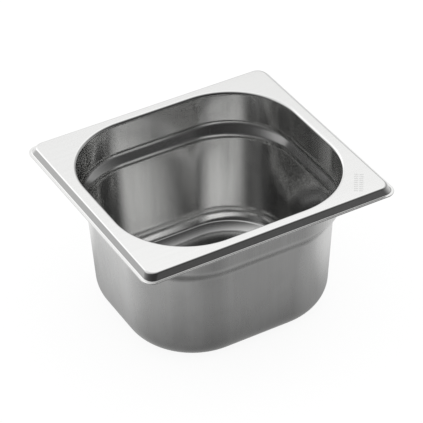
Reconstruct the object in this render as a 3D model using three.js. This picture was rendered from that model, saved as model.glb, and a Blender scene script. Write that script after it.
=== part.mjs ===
// Deli food pan, one-sixth Gastronorm size, 100 mm deep.
//
// The pan is one sheet of deep-drawn stainless steel: the food well, the neck,
// the stacking ledge, the flange, the skirt and the lip are all bends of it.
// A section curve of the food side is swept round a family of rounded
// rectangles, and the same curve, moved through the sheet by its thickness,
// makes the outer side.
//
// Millimetres, +Z up. The origin is the centre of the underside of the floor.
// X is the long side of the rim, Y is the short side.
// Constants ending in _Z are heights measured from the flange top.

import * as THREE from 'three';

const { degToRad, lerp, smoothstep } = THREE.MathUtils;

// ---- rim ------------------------------------------------------------------
const RIM_LENGTH = 176;          // lip edge to lip edge, along X
const RIM_WIDTH = 162;           // lip edge to lip edge, along Y
const DEPTH = 100;               // underside of the floor to the flange top
const SHEET = 0.8;               // sheet thickness
const LIP_CORNER_R = 7.4;        // plan radius of the lip's outer corners
const LIP_WIDTH = 1.8;           // lip edge to the foot of the skirt
const SKIRT_FOOT_CORNER_R = 6.0; // plan radius where the skirt meets the lip
const SKIRT_RUN = 2.0;           // how far the skirt leans outwards
const SKIRT_DROP = 4.3;          // flange top down to the lip's upper face
const FLANGE_CORNER_R = 6.4;     // plan radius of the flange's outer corners
const RIM_BEND_R = 1.5;          // bend from the flange into the skirt
const LIP_BEND_R = 0.7;          // bend from the skirt into the lip

// ---- opening, neck and stacking ledge --------------------------------------
const MOUTH_X = 76.9;            // half length of the mouth, at mid bend
const MOUTH_Y = 70.75;           // half width of the mouth, at mid bend
const MOUTH_CORNER_R = 50.0;     // plan radius of the mouth's corners
const NECK_INSET = 0.9;          // neck wall inside the mouth line
const MOUTH_BEND_R = 2.0;        // bend from the flange into the neck
const NECK_FOOT_Z = -23.5;       // neck wall meets the slope of the ledge
const NECK_BEND_R = 8.0;         // hollow bend at the foot of the neck
const LEDGE_Z = -30.5;           // slope of the ledge meets the body wall
const LEDGE_INSET = 5.4;         // body wall at the ledge, inside the mouth line
const LEDGE_BEND_R = 9.0;        // bend from the ledge over into the body wall

// ---- tapered body and floor ------------------------------------------------
const FLOOR_Z = -(DEPTH - SHEET);   // food side of the floor
const DRAFT = degToRad(2.7);        // lean of the body wall from the vertical
const FLOOR_BEND_R = 16.4;          // bend from the body wall down to the mid slope
const MID_SLOPE = degToRad(45);     // slope where the floor bend meets the heel bend
const HEEL_BEND_R = 20.0;           // wider bend from there down to the heel's slope
const HEEL_SLOPE = degToRad(25);    // slope of the heel where the floor cuts it off
const HEEL_FOOT_R = 3.0;            // small bend from the heel into the flat floor

// Growth of the plan corner radius down the body.
const CORNER_START_Z = NECK_FOOT_Z + 2; // the radius starts to grow
const CORNER_TOP_Z = -30;               // smooth growth ends, linear growth starts
const CORNER_EXTRA_TOP = 2.3;           // extra radius at CORNER_TOP_Z
const CORNER_EXTRA_FOOT = 4.4;          // extra radius at full depth

// ---- mesh density ----------------------------------------------------------
const CORNER_STEPS = 12;         // steps round one plan corner

const FLAT_RUN = 6;              // flat beyond an end bend, only sets its direction

const STEEL = { color: 0xc9cacc, roughness: 0.3, metalness: 1.0 };

// ---- section curve ---------------------------------------------------------

// Stations round the bends of a section through corner points. A point holds
// [distance outwards, height, bend radius, steps round the bend]; the first and
// last only set a direction. Each station carries the unit normal on the food
// side, which is the left of the direction of travel.
function bendStations(corners) {
  const points = corners.map(([out, z]) => new THREE.Vector2(out, z));
  const origin = new THREE.Vector2();
  const leftOf = (direction) => new THREE.Vector2(-direction.y, direction.x);
  const stations = [];
  for (let i = 1; i + 1 < points.length; i++) {
    const [, , radius, steps] = corners[i];
    const before = points[i].clone().sub(points[i - 1]).normalize();
    const after = points[i + 1].clone().sub(points[i]).normalize();
    const turn = Math.atan2(before.cross(after), before.dot(after)); // + turns left
    const side = Math.sign(turn);
    const centre = points[i].clone()
      .addScaledVector(before, -tangentReach(radius, Math.abs(turn)))
      .addScaledVector(leftOf(before), radius * side);
    for (let k = 0; k <= steps; k++) {
      const normal = leftOf(before).rotateAround(origin, (turn * k) / steps);
      const point = centre.clone().addScaledVector(normal, -radius * side);
      stations.push({ out: point.x, z: point.y, normalOut: normal.x, normalZ: normal.y });
    }
  }
  return stations;
}

// Distance from a bend's corner point to where its arc begins.
function tangentReach(radius, turn) {
  return radius * Math.tan(turn / 2);
}

// Gives each station its plan outline. `out` is measured outwards from a base
// rectangle of the given half sizes.
function placeStations(stations, baseX, baseY, cornerRadius) {
  return stations.map((station) => ({
    ...station,
    halfX: baseX + station.out,
    halfY: baseY + station.out,
    cornerR: cornerRadius(station),
  }));
}

// ---- body: floor to mouth, measured outwards from the mouth line -----------

function bodyCornerRadius({ out, z }) {
  const upper = CORNER_EXTRA_TOP * smoothstep(-z, -CORNER_START_Z, -CORNER_TOP_Z);
  const down = Math.max(0, (CORNER_TOP_Z - z) / (DEPTH + CORNER_TOP_Z));
  return MOUTH_CORNER_R + out + upper + (CORNER_EXTRA_FOOT - CORNER_EXTRA_TOP) * down;
}

function bodyStations() {
  // The wall turns into the floor through three arcs. Heights are worked out
  // from the floor up, distances outwards from the wall down.
  const wallReach = tangentReach(FLOOR_BEND_R, Math.PI / 2 - DRAFT - MID_SLOPE);
  const heelReach = tangentReach(HEEL_BEND_R, MID_SLOPE - HEEL_SLOPE);
  const footReach = tangentReach(HEEL_FOOT_R, HEEL_SLOPE);
  const midLength = wallReach + heelReach;
  const heelLength = heelReach + footReach;

  const heelZ = FLOOR_Z + heelLength * Math.sin(HEEL_SLOPE);
  const wallFootZ = heelZ + midLength * Math.sin(MID_SLOPE);
  const wallFootOut = -(LEDGE_INSET + Math.tan(DRAFT) * (LEDGE_Z - wallFootZ));
  const heelOut = wallFootOut - midLength * Math.cos(MID_SLOPE);
  const footOut = heelOut - heelLength * Math.cos(HEEL_SLOPE);

  const stations = bendStations([
    [footOut - FLAT_RUN, FLOOR_Z],
    [footOut, FLOOR_Z, HEEL_FOOT_R, 2],
    [heelOut, heelZ, HEEL_BEND_R, 2],
    [wallFootOut, wallFootZ, FLOOR_BEND_R, 5],
    [-LEDGE_INSET, LEDGE_Z, LEDGE_BEND_R, 3],
    [-NECK_INSET, NECK_FOOT_Z, NECK_BEND_R, 3],
    [-NECK_INSET, 0, MOUTH_BEND_R, 4],
    [-NECK_INSET + FLAT_RUN, 0],
  ]);
  return placeStations(stations, MOUTH_X, MOUTH_Y, bodyCornerRadius);
}

// ---- rim: flange edge to lip edge, measured outwards from the lip edge -----

function rimCornerRadius({ out }) {
  const inset = -out;
  if (inset < LIP_WIDTH) return lerp(LIP_CORNER_R, SKIRT_FOOT_CORNER_R, inset / LIP_WIDTH);
  const upSkirt = Math.min(1, (inset - LIP_WIDTH) / SKIRT_RUN);
  return lerp(SKIRT_FOOT_CORNER_R, FLANGE_CORNER_R, upSkirt);
}

function rimStations() {
  const skirtTopOut = -LIP_WIDTH - SKIRT_RUN;
  const stations = bendStations([
    [skirtTopOut - FLAT_RUN, 0],
    [skirtTopOut, 0, RIM_BEND_R, 3],
    [-LIP_WIDTH, -SKIRT_DROP, LIP_BEND_R, 2],
    [0, -SKIRT_DROP],
  ]);
  const lipEdge = { out: 0, z: -SKIRT_DROP, normalOut: 0, normalZ: 1 };
  stations.push(lipEdge);
  return placeStations(stations, RIM_LENGTH / 2, RIM_WIDTH / 2, rimCornerRadius);
}

// ---- sweep -----------------------------------------------------------------

// Outline of a rounded rectangle centred on the axis, counter-clockwise seen
// from above: four corner arcs, always with the same number of points.
function outline(halfX, halfY, radius) {
  const x = halfX - radius;
  const y = halfY - radius;
  const quarter = Math.PI / 2;
  const centres = [[x, y], [-x, y], [-x, -y], [x, -y]];
  return centres.flatMap(([centreX, centreY], i) => {
    const start = i * quarter;
    const end = (i + 1) * quarter;
    return new THREE.EllipseCurve(centreX, centreY, radius, radius, start, end)
      .getPoints(CORNER_STEPS);
  });
}

// One station swept round its outline; depthIn moves it through the sheet,
// square to the surface.
function ring(station, depthIn) {
  const shift = -depthIn * station.normalOut;
  const height = DEPTH + station.z - depthIn * station.normalZ;
  return outline(station.halfX + shift, station.halfY + shift, station.cornerR + shift)
    .map((point) => [point.x, point.y, height]);
}

function panGeometry() {
  // Food side from floor to lip edge, then back down the outer side. The flat
  // floor and the flat flange are each spanned in one step.
  const stations = [...bodyStations(), ...rimStations()];
  const rings = [
    ...stations.map((station) => ring(station, 0)),
    ...stations.toReversed().map((station) => ring(station, SHEET)),
  ];
  const around = rings[0].length;
  const floorCentre = rings.length * around;
  const baseCentre = floorCentre + 1;
  const positions = [...rings.flat(2), 0, 0, SHEET, 0, 0, 0];

  const index = [];
  const lastRing = (rings.length - 1) * around;
  for (let j = 0; j < around; j++) {
    const k = (j + 1) % around;
    index.push(floorCentre, j, k);
    for (let start = 0; start < lastRing; start += around) {
      const next = start + around;
      index.push(start + j, next + j, next + k);
      index.push(start + j, next + k, start + k);
    }
    index.push(baseCentre, lastRing + k, lastRing + j);
  }

  const geometry = new THREE.BufferGeometry();
  geometry.setAttribute('position', new THREE.Float32BufferAttribute(positions, 3));
  geometry.setIndex(index);
  geometry.computeVertexNormals();
  return geometry;
}

const shell = new THREE.Mesh(panGeometry(), new THREE.MeshStandardMaterial(STEEL));
shell.name = 'pan_shell';

const pan = new THREE.Group();
pan.add(shell);

export default pan;
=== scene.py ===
import math

import bpy
import numpy as np
from mathutils import Matrix, Vector


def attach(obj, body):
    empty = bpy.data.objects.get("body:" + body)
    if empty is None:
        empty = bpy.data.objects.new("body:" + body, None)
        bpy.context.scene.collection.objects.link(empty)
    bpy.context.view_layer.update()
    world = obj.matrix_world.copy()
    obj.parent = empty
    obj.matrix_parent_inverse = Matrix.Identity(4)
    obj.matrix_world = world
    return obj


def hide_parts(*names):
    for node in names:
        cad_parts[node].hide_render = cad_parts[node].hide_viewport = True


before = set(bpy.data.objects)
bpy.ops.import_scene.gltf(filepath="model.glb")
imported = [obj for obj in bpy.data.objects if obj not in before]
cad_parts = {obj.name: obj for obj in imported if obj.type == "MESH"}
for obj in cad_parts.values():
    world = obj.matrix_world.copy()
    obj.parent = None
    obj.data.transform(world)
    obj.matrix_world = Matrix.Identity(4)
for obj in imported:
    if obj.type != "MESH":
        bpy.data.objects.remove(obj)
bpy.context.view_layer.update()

# ---------------------------------------------------------------- dimensions
# Millimetres. In the sections, u is the distance outward from the mouth wall (body) or from the
# lip edge (rim), and z is the height from the top of the flange, negative downward.
RIM_X, RIM_Y = 88.0, 81.0            # half size at the lip edge
DEPTH, SHEET = 100.0, 0.8
LIP_CORNER_R, LIP_WIDTH = 7.4, 1.8
SKIRT_FOOT_CORNER_R, SKIRT_RUN, SKIRT_DROP = 6.0, 2.0, 4.3
FLANGE_CORNER_R, RIM_BEND_R, LIP_BEND_R = 6.4, 1.5, 0.7
FLANGE_RUN = 2.2                     # flat flange past the mouth, and before the skirt
EDGE_R, EDGE_STEPS = 0.2, 5          # deburred cut edge of the sheet
MOUTH_X, MOUTH_Y, MOUTH_CORNER_R = 76.9, 70.75, 50.0
NECK_INSET, MOUTH_BEND_R = 0.9, 2.0
NECK_FOOT_Z, NECK_BEND_R = -23.5, 8.0
LEDGE_Z, LEDGE_INSET, LEDGE_BEND_R = -30.5, 5.4, 9.0
DRAFT, FLOOR_BEND_R = math.radians(2.7), 16.4
CHAMFER_SLOPE = math.radians(45)     # upper of the two slopes between wall and floor
HEEL_BEND_R, HEEL_SLOPE, HEEL_FOOT_R = 20.0, math.radians(25), 3.0
FLOOR_RUN = 8                        # flat floor inside the heel foot
BODY_CORNER_TOP, BODY_CORNER_FOOT = 2.3, 4.4       # added to the corner radius lower down
CORNER_BLEND_TOP_Z, CORNER_BLEND_FOOT_Z = NECK_FOOT_Z + 2, -30
RIM_FINISH_Z = -1.4                  # the rim's finish begins above this height in the mouth

CORNER_STEPS = 40
SIDE_FRACTIONS = (0.015, 0.08, 0.22, 0.38, 0.5, 0.62, 0.78, 0.92, 0.985)

WELL, RIM, OUTER = 0, 1, 2           # material slots


# ------------------------------------------------------------------- sections
def left_of(direction):
    return np.array([-direction[1], direction[0]])


def tangent_length(radius, turn):
    """Distance from a corner to where its rounding starts."""
    return radius * math.tan(turn / 2)


def section_curve(corners):
    """Stations (u, z, normal u, normal z) along a polyline with rounded corners.

    A corner is (u, z, bend radius, steps); the two ends are (u, z). Normals are on the food side.
    """
    points = [np.array(corner[:2], float) for corner in corners]
    runs = [(b - a) / np.linalg.norm(b - a) for a, b in zip(points, points[1:])]
    stations = [(*points[0], *left_of(runs[0]))]
    for point, before, after, corner in zip(points[1:], runs, runs[1:], corners[1:]):
        radius, steps = corner[2:]
        turn = math.atan2(before[0] * after[1] - before[1] * after[0], before @ after)
        side = math.copysign(1, turn)
        normal = left_of(before)
        centre = point - before * tangent_length(radius, abs(turn)) + normal * radius * side
        for k in range(steps + 1):
            c, s = math.cos(turn * k / steps), math.sin(turn * k / steps)
            turned = np.array([normal[0] * c - normal[1] * s, normal[0] * s + normal[1] * c])
            stations.append((*(centre - turned * radius * side), *turned))
    stations.append((*points[-1], *left_of(runs[-1])))
    return stations


def densify(stations, longest, lead):
    """Adds stations on straight runs, one close to each end, so shading stays true to the bends."""
    out = [stations[0]]
    for a, b in zip(stations, stations[1:]):
        length = math.hypot(b[0] - a[0], b[1] - a[1])
        straight = abs(a[2] - b[2]) < 1e-6 and abs(a[3] - b[3]) < 1e-6
        if length > 2.5 * lead and straight:
            count = max(1, round((length - 2 * lead) / longest))
            for k in range(count + 1):
                t = lead / length + (1 - 2 * lead / length) * k / count
                out.append((a[0] + (b[0] - a[0]) * t, a[1] + (b[1] - a[1]) * t, a[2], a[3]))
        out.append(b)
    return out


def body_section():
    """From the floor, up over the heel, chamfer, wall, ledge and neck, onto the flange."""
    floor_z = -(DEPTH - SHEET)
    chamfer_reach = tangent_length(FLOOR_BEND_R, math.pi / 2 - DRAFT - CHAMFER_SLOPE)
    heel_reach = tangent_length(HEEL_BEND_R, CHAMFER_SLOPE - HEEL_SLOPE)
    foot_reach = tangent_length(HEEL_FOOT_R, HEEL_SLOPE)
    # the bends meet end to end, with no straight run between them
    chamfer_run = chamfer_reach + heel_reach
    heel_run = heel_reach + foot_reach
    heel_z = floor_z + heel_run * math.sin(HEEL_SLOPE)
    chamfer_z = heel_z + chamfer_run * math.sin(CHAMFER_SLOPE)
    chamfer_u = -(LEDGE_INSET + math.tan(DRAFT) * (LEDGE_Z - chamfer_z))
    heel_u = chamfer_u - chamfer_run * math.cos(CHAMFER_SLOPE)
    foot_u = heel_u - heel_run * math.cos(HEEL_SLOPE)
    return densify(section_curve([
        (foot_u - foot_reach - FLOOR_RUN, floor_z),
        (foot_u, floor_z, HEEL_FOOT_R, 12),
        (heel_u, heel_z, HEEL_BEND_R, 12),
        (chamfer_u, chamfer_z, FLOOR_BEND_R, 18),
        (-LEDGE_INSET, LEDGE_Z, LEDGE_BEND_R, 14),
        (-NECK_INSET, NECK_FOOT_Z, NECK_BEND_R, 14),
        (-NECK_INSET, 0, MOUTH_BEND_R, 16),
        (FLANGE_RUN, 0),
    ]), longest=4.0, lead=0.35)


def rim_section():
    """From the flange, down the skirt and out to the lip."""
    return densify(section_curve([
        (-LIP_WIDTH - SKIRT_RUN - FLANGE_RUN, 0),
        (-LIP_WIDTH - SKIRT_RUN, 0, RIM_BEND_R, 12),
        (-LIP_WIDTH, -SKIRT_DROP, LIP_BEND_R, 8),
        (-EDGE_R, -SKIRT_DROP),
    ]), longest=1.2, lead=0.12)


def edge_section():
    """The rounded cut edge of the lip, from its top to its underside."""
    stations = []
    for centre_z, steps in (
        (-SKIRT_DROP - EDGE_R, range(EDGE_STEPS - 1, -1, -1)),
        (-SKIRT_DROP - SHEET + EDGE_R, range(0, -EDGE_STEPS, -1)),
    ):
        for k in steps:
            a = math.pi / 2 * k / EDGE_STEPS
            stations.append((EDGE_R * (math.cos(a) - 1), centre_z + EDGE_R * math.sin(a), 0, 1))
    return stations


# ------------------------------------------------------------------ pan shell
def body_corner(u, z):
    blend_depth = CORNER_BLEND_TOP_Z - CORNER_BLEND_FOOT_Z
    t = min(1.0, max(0.0, (CORNER_BLEND_TOP_Z - z) / blend_depth))
    upper = BODY_CORNER_TOP * t * t * (3 - 2 * t)
    below = max(0.0, (CORNER_BLEND_FOOT_Z - z) / (DEPTH + CORNER_BLEND_FOOT_Z))
    return MOUTH_CORNER_R + u + upper + (BODY_CORNER_FOOT - BODY_CORNER_TOP) * below


def rim_corner(u):
    if u > -LIP_WIDTH:
        return LIP_CORNER_R + (SKIRT_FOOT_CORNER_R - LIP_CORNER_R) * (-u / LIP_WIDTH)
    t = min(1.0, (-u - LIP_WIDTH) / SKIRT_RUN)
    return SKIRT_FOOT_CORNER_R + (FLANGE_CORNER_R - SKIRT_FOOT_CORNER_R) * t


def outline(half_x, half_y, radius):
    """Rounded rectangle, anticlockwise from the +X end of the +X +Y corner."""
    x, y, quarter = half_x - radius, half_y - radius, math.pi / 2
    centres = [(x, y), (-x, y), (-x, -y), (x, -y)]

    def on_corner(i, turn):
        x, y = centres[i % 4]
        return np.array((x + radius * math.cos(turn), y + radius * math.sin(turn)))

    points = []
    for i in range(4):
        points += [on_corner(i, (i + k / CORNER_STEPS) * quarter) for k in range(CORNER_STEPS + 1)]
        start, end = points[-1], on_corner(i + 1, (i + 1) * quarter)
        points += [start + (end - start) * f for f in SIDE_FRACTIONS]
    return points


def ring(station, on_rim, thickness):
    """One loop of the shell in metres, set back from the food side by a thickness."""
    u, z, normal_u, normal_z = station
    shift = -thickness * normal_u
    half_x, half_y = (RIM_X, RIM_Y) if on_rim else (MOUTH_X, MOUTH_Y)
    radius = (rim_corner(u) if on_rim else body_corner(u, z)) + shift
    height = DEPTH + z - thickness * normal_z
    return [(x / 1000, y / 1000, height / 1000)
            for x, y in outline(half_x + u + shift, half_y + u + shift, radius)]


def add_object(name, data):
    obj = bpy.data.objects.new(name, data)
    bpy.context.scene.collection.objects.link(obj)
    return obj


def build_pan():
    body, rim = body_section(), rim_section()
    rings = [(ring(s, False, 0), RIM if s[1] > RIM_FINISH_Z else WELL) for s in body]
    rings += [(ring(s, True, 0), RIM) for s in rim + edge_section()]
    rings += [(ring(s, True, SHEET), OUTER) for s in reversed(rim)]
    rings += [(ring(s, False, SHEET), OUTER) for s in reversed(body)]
    zones = [zone for _, zone in rings]
    verts = [point for points, _ in rings for point in points]
    n = len(rings[0][0])
    last = len(verts) - n
    centre_in, centre_out = len(verts), len(verts) + 1
    verts += [(0, 0, SHEET / 1000), (0, 0, 0)]

    faces, slots = [], []
    for i in range(len(rings) - 1):
        a, b = i * n, (i + 1) * n
        for j in range(n):
            k = (j + 1) % n
            faces.append((a + j, b + j, b + k, a + k))
            slots.append(zones[i + 1] if zones[i] == WELL else zones[i])
    for j in range(n):
        k = (j + 1) % n
        faces += [(centre_in, j, k), (centre_out, last + k, last + j)]
        slots += [WELL, OUTER]

    mesh = bpy.data.meshes.new("pan_shell_visual")
    mesh.from_pydata(verts, [], faces)
    mesh.polygons.foreach_set("material_index", slots)
    mesh.polygons.foreach_set("use_smooth", [True] * len(faces))
    mesh.update()
    return add_object("pan_shell_visual", mesh)


pan = build_pan()
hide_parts("pan_shell")
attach(pan, "root")


# ------------------------------------------------------------------ materials
class Nodes:
    """Builds a node tree with short calls. Inputs take a socket to link or a plain value."""

    def __init__(self, owner):
        owner.use_nodes = True
        self.tree = owner.node_tree
        self.tree.nodes.clear()

    def new(self, kind, inputs, **props):
        """Adds a node and returns its outputs; inputs are keyed by name or number."""
        node = self.tree.nodes.new(kind)
        for key, value in props.items():
            setattr(node, key, value)
        for key, value in inputs.items():
            if isinstance(value, bpy.types.NodeSocket):
                self.tree.links.new(value, node.inputs[key])
            else:
                node.inputs[key].default_value = value
        return node.outputs

    def coord(self, kind):
        return self.new("ShaderNodeTexCoord", {})[kind]

    def math(self, op, *values, clamp=False):
        inputs = dict(enumerate(values))
        return self.new("ShaderNodeMath", inputs, operation=op, use_clamp=clamp)[0]

    def add(self, base, texture, amount, clamp=False):
        return self.math("ADD", base, self.math("MULTIPLY", texture, amount), clamp=clamp)

    def vary(self, base, texture, amount):
        """Moves the base up and down with a texture centred on 0.5."""
        return self.add(base, self.math("SUBTRACT", texture, 0.5), amount)

    def dot(self, a, b):
        return self.new("ShaderNodeVectorMath", {0: a, 1: b}, operation="DOT_PRODUCT")["Value"]

    def mapped(self, vector, **inputs):
        return self.new("ShaderNodeMapping", {"Vector": vector, **inputs})[0]

    def noise(self, vector, detail, rough, scale=1.0, distort=0.0, stretch=None, turn=(0, 0, 0)):
        """Noise of one scale, or of a scale per axis (stretch), in features per metre."""
        if stretch:
            vector = self.mapped(vector, Scale=stretch, Rotation=turn)
        return self.new("ShaderNodeTexNoise", {"Vector": vector, "Scale": scale, "Detail": detail,
                                               "Roughness": rough, "Distortion": distort})["Fac"]

    def span(self, value, start, end, low=0.0, high=1.0):
        """Smooth step from low at start to high at end."""
        return self.new("ShaderNodeMapRange", {"Value": value, "From Min": start, "From Max": end,
                                               "To Min": low, "To Max": high},
                        interpolation_type="SMOOTHSTEP", clamp=True)["Result"]

    def within(self, value, inside, outside):
        return self.span(value, inside, outside, low=1, high=0)

    def mix(self, factor, a, b):
        return self.new("ShaderNodeMix", {0: factor, 2: a, 3: b}, data_type="FLOAT")[0]

    def mix_colour(self, factor, a, b):
        return self.new("ShaderNodeMix", {0: factor, 6: a, 7: b}, data_type="RGBA")[2]

    def mix_shader(self, factor, a, b):
        return self.new("ShaderNodeMixShader", {0: factor, 1: a, 2: b})[0]

    def bump(self, height, strength, distance, **inputs):
        inputs.update(Height=height, Strength=strength, Distance=distance)
        return self.new("ShaderNodeBump", inputs)["Normal"]

    def emission(self, kind, level, strength):
        return self.new(kind, {"Color": (level, level, level, 1), "Strength": strength})[0]


def new_material(name):
    material = bpy.data.materials.new(name)
    return material, Nodes(material)


def drawn_grain(N, pos, brushed_flat):
    """Fine and broad grain: upright lines on the walls, lines along X on the flat parts."""
    normal = N.new("ShaderNodeNewGeometry", {})["True Normal"]
    flat = N.span(N.math("ABSOLUTE", N.dot(normal, (0.0, 0.0, 1.0))), start=0.75, end=0.97)
    flat_stretch = (70 if brushed_flat else 900, 3200, 900)
    grain = N.mix(flat, N.noise(pos, stretch=(2600, 2600, 55), detail=3.0, rough=0.55),
                  N.noise(pos, stretch=flat_stretch, detail=3.0, rough=0.55))
    broad = N.mix(flat, N.noise(pos, stretch=(320, 320, 9), detail=2.0, rough=0.5),
                  N.noise(pos, stretch=(10, 420, 300), detail=2.0, rough=0.5))
    return grain, broad


def hairlines(N, pos):
    """Hairline scratches in two directions, kept to patches."""
    line = dict(detail=1.0, rough=0.4, distort=0.15)
    along_x = N.noise(pos, stretch=(40, 1700, 220), turn=(0, 0, 0.45), **line)
    along_y = N.noise(pos, stretch=(1500, 36, 260), turn=(0, 0, -0.3), **line)
    lines = N.math("MAXIMUM", N.span(along_x, start=0.735, end=0.775),
                   N.span(along_y, start=0.745, end=0.785))
    patches = N.span(N.noise(pos, scale=15, detail=2.0, rough=0.5), start=0.48, end=0.62)
    return N.math("MULTIPLY", lines, patches)


# Stamped tally near the +X -Y corner, in metres.
TALLY_X, TALLY_Y, TALLY_TURN = 0.0697, -0.0642, math.radians(-56)
BAR_PITCH, ROW_OFFSET = 0.0021, 0.0016


def stamped_tally(N, pos):
    """Mask of two rows of short bars."""
    centred = N.mapped(pos, Location=(-TALLY_X, -TALLY_Y, 0))
    turned = N.mapped(centred, Rotation=(0, 0, TALLY_TURN))
    axes = N.new("ShaderNodeSeparateXYZ", {"Vector": turned})
    along, across = axes["X"], axes["Y"]
    # whole pitches keep the value positive, and the half centres a bar on the tally
    pitches = N.math("ADD", N.math("DIVIDE", along, BAR_PITCH), 100.5)
    off_bar = N.math("ABSOLUTE", N.math("SUBTRACT", N.math("FRACT", pitches), 0.5))
    bars = N.within(off_bar, inside=0.17, outside=0.27)
    off_row = N.math("ABSOLUTE", N.math("SUBTRACT", N.math("ABSOLUTE", across), ROW_OFFSET))
    rows = N.math("MULTIPLY", N.within(off_row, inside=0.0010, outside=0.0013),
                  N.within(N.math("ABSOLUTE", along), inside=0.0093, outside=0.0094))
    return N.math("MULTIPLY", bars, rows)


def tinted(brightness):
    return (*(c * brightness for c in (0.65, 0.65, 0.645)), 1)


def steel(name, rough, grain_rough, streak_rough, cloudy, grain_bump, wave_bump, scratches, tone,
          blotch=0.0, brushed_flat=False, stamped=False):
    """Drawn sheet with grain, uneven polish, scratches and slight waviness; tone darkens grain."""
    material, N = new_material(name)
    pos = N.coord("Object")
    grain, broad = drawn_grain(N, pos, brushed_flat)
    hair = hairlines(N, pos)
    # uneven polish and handling smudges
    cloud = N.noise(pos, scale=26, detail=4.0, rough=0.55, distort=0.4)
    smear = N.noise(pos, stretch=(60, 60, 22), turn=(0.2, 0.1, 0.7), detail=3.0, rough=0.6,
                    distort=0.6)

    r = N.vary(rough, grain, grain_rough)
    r = N.vary(r, broad, streak_rough)
    r = N.vary(r, cloud, cloudy)
    r = N.add(r, N.span(smear, start=0.56, end=0.72), amount=0.4 * cloudy)
    r = N.add(r, hair, amount=0.12 * scratches, clamp=True)

    shade = N.add(N.math("MULTIPLY", grain, 0.5), broad, amount=0.5)
    colour = N.mix_colour(N.span(shade, start=0.36, end=0.62), tinted(tone), tinted(1))
    smudge = N.math("MULTIPLY", N.span(smear, start=0.5, end=0.75), 1.4 * cloudy)
    colour = N.mix_colour(smudge, colour, tinted(brightness=0.86))
    if blotch:
        # handling marks: soft uneven patches, a little drawn out upright
        patch = N.noise(pos, stretch=(46, 46, 30), turn=(0.3, 0, 0.2), detail=3.0, rough=0.55,
                        distort=0.8)
        patch = N.math("MULTIPLY", N.span(patch, start=0.38, end=0.62), blotch)
        colour = N.mix_colour(patch, colour, tinted(brightness=0.7))

    wave = N.noise(pos, scale=9, detail=1.0, rough=0.4)
    normal = N.bump(wave, strength=wave_bump, distance=0.0006)
    normal = N.bump(grain, strength=grain_bump, distance=0.00002, Normal=normal)
    normal = N.bump(hair, strength=0.25 * scratches, distance=0.00003, Normal=normal)

    if stamped:
        stamp = stamped_tally(N, pos)
        normal = N.bump(stamp, strength=0.6, distance=-0.0001, Normal=normal)
        r = N.add(r, stamp, amount=0.12)
        colour = N.mix_colour(N.math("MULTIPLY", stamp, 0.14), colour, (0.42, 0.42, 0.42, 1))

    surface = N.new("ShaderNodeBsdfPrincipled", {
        "Base Color": colour, "Metallic": 1.0, "Roughness": r, "Normal": normal})["BSDF"]
    N.new("ShaderNodeOutputMaterial", {"Surface": surface})
    pan.data.materials.append(material)


steel("steel_well", rough=0.17, grain_rough=0.04, streak_rough=0.03, cloudy=0.03,
      grain_bump=0.015, wave_bump=0.02, scratches=0.2, tone=0.96)
steel("steel_rim", rough=0.12, grain_rough=0.04, streak_rough=0.01, cloudy=0.012,
      grain_bump=0.04, wave_bump=0.01, scratches=0.8, tone=0.975, brushed_flat=True, stamped=True)
steel("steel_outer", rough=0.28, grain_rough=0.06, streak_rough=0.06, cloudy=0.07,
      grain_bump=0.05, wave_bump=0.08, scratches=0.8, tone=0.95, blotch=0.16)


# ---------------------------------------------------------------------- studio
# Soft neutral sources mirrored by the steel, tuned for this camera view only. Those below the
# horizon stand for the pale floor. Columns: azimuth from +X, elevation and softness in degrees,
# brightness.
SOURCES = [
    (53, 72, 20, 0.50), (158, 68, 12, 0.30), (48, 45, 12, 0.70), (15, 42, 12, 0.30),
    (153, 42, 12, 0.70), (108, 32, 12, 0.90), (93, 31, 30, 1.10), (3, -23, 30, 0.75),
    (-30, -31, 30, 0.15), (108, -33, 30, 0.60), (76, -41, 30, 0.45), (-147, -43, 30, 0.45),
]
SOFT_LIGHT = 1.12                    # even light for everything but mirror reflections


def build_world():
    world = bpy.data.worlds.new("studio")
    bpy.context.scene.world = world
    N = Nodes(world)
    view = N.coord("Generated")
    seen = 0.0
    for azimuth, elevation, softness, brightness in SOURCES:
        a, e = math.radians(azimuth), math.radians(elevation)
        toward = (math.cos(e) * math.cos(a), math.cos(e) * math.sin(a), math.sin(e))
        falloff = N.math("MULTIPLY", N.math("SUBTRACT", N.dot(view, toward), 1.0),
                         1.0 / math.radians(softness) ** 2)
        seen = N.add(seen, N.math("EXPONENT", falloff), brightness)
    mirrored = N.new("ShaderNodeBackground", {"Color": seen, "Strength": 1.0})[0]
    soft = N.emission("ShaderNodeBackground", level=1, strength=SOFT_LIGHT)
    glossy = N.new("ShaderNodeLightPath", {})["Is Glossy Ray"]
    N.new("ShaderNodeOutputWorld", {"Surface": N.mix_shader(glossy, soft, mirrored)})


def add_sheet(name, half_x, half_y, z, material):
    mesh = bpy.data.meshes.new(name)
    corners = ((-1, -1), (1, -1), (1, 1), (-1, 1))
    mesh.from_pydata([(x * half_x, y * half_y, z) for x, y in corners], [], [(0, 1, 2, 3)])
    mesh.materials.append(material)
    return add_object(name, mesh)


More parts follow.
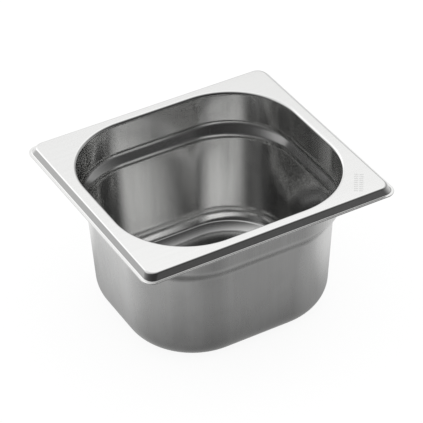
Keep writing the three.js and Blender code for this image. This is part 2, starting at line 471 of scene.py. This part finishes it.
def build_floor():
    """Pale floor, mostly self-lit and left out of reflections."""
    material, N = new_material("pale_floor")
    diffuse = N.new("ShaderNodeBsdfDiffuse", {"Color": (0.93, 0.93, 0.93, 1)})[0]
    glow = N.emission("ShaderNodeEmission", level=1, strength=1.02)
    glow_share = 0.88
    N.new("ShaderNodeOutputMaterial", {"Surface": N.mix_shader(glow_share, diffuse, glow)})
    floor = add_sheet("floor", 6.0, 6.0, 0, material)
    floor.visible_glossy = False


# Half size of the darkest part, fade distance and border (metres), and how clear that part is.
SHADE_X, SHADE_Y, SHADE_REACH, SHADE_BORDER = 0.062, 0.056, 0.060, 0.01
SHADE_NEAR = 0.45


def build_floor_shade():
    """The shaded floor close round the pan, seen in reflections only; it fades out with distance."""
    material, N = new_material("floor_shade")
    at = N.new("ShaderNodeSeparateXYZ", {"Vector": N.coord("Object")})
    away = N.math("MAXIMUM", N.math("SUBTRACT", N.math("ABSOLUTE", at["X"]), SHADE_X),
                  N.math("SUBTRACT", N.math("ABSOLUTE", at["Y"]), SHADE_Y))
    clear = N.span(away, start=0.0, end=SHADE_REACH, low=SHADE_NEAR, high=1.0)
    dark = N.emission("ShaderNodeEmission", level=0, strength=0.0)
    through = N.new("ShaderNodeBsdfTransparent", {})[0]
    N.new("ShaderNodeOutputMaterial", {"Surface": N.mix_shader(clear, dark, through)})
    margin = SHADE_REACH + SHADE_BORDER
    card = add_sheet("floor_shade", SHADE_X + margin, SHADE_Y + margin, -0.0003, material)
    card.visible_camera = card.visible_diffuse = card.visible_shadow = False
    card.visible_transmission = card.visible_volume_scatter = False


def build_camera():
    lens = bpy.data.cameras.new("camera")
    lens.sensor_width = 36
    lens.lens = 181.9480851
    lens.shift_x, lens.shift_y = -0.0011820331, 0.0011820331
    lens.clip_start, lens.clip_end = 0.1, 50
    camera = add_object("camera", lens)
    bpy.context.scene.camera = camera
    # columns: the camera's right, up and back axes; rows: world X, Y and Z
    placement = Matrix((
        (0.86635983, 0.315814, -0.38688779),
        (-0.49897233, 0.51455642, -0.69732224),
        (-0.02114853, 0.79717828, 0.60337346),
    )).to_4x4()
    placement.translation = Vector((-0.52272609, -0.94491273, 0.88033963))
    camera.matrix_world = placement


build_world()
build_floor()
build_floor_shade()
build_camera()

scene = bpy.context.scene
scene.view_settings.view_transform = "Standard"
scene.view_settings.look = "None"
scene.cycles.max_bounces = 14
scene.cycles.glossy_bounces = 12     # the well reflects itself many times
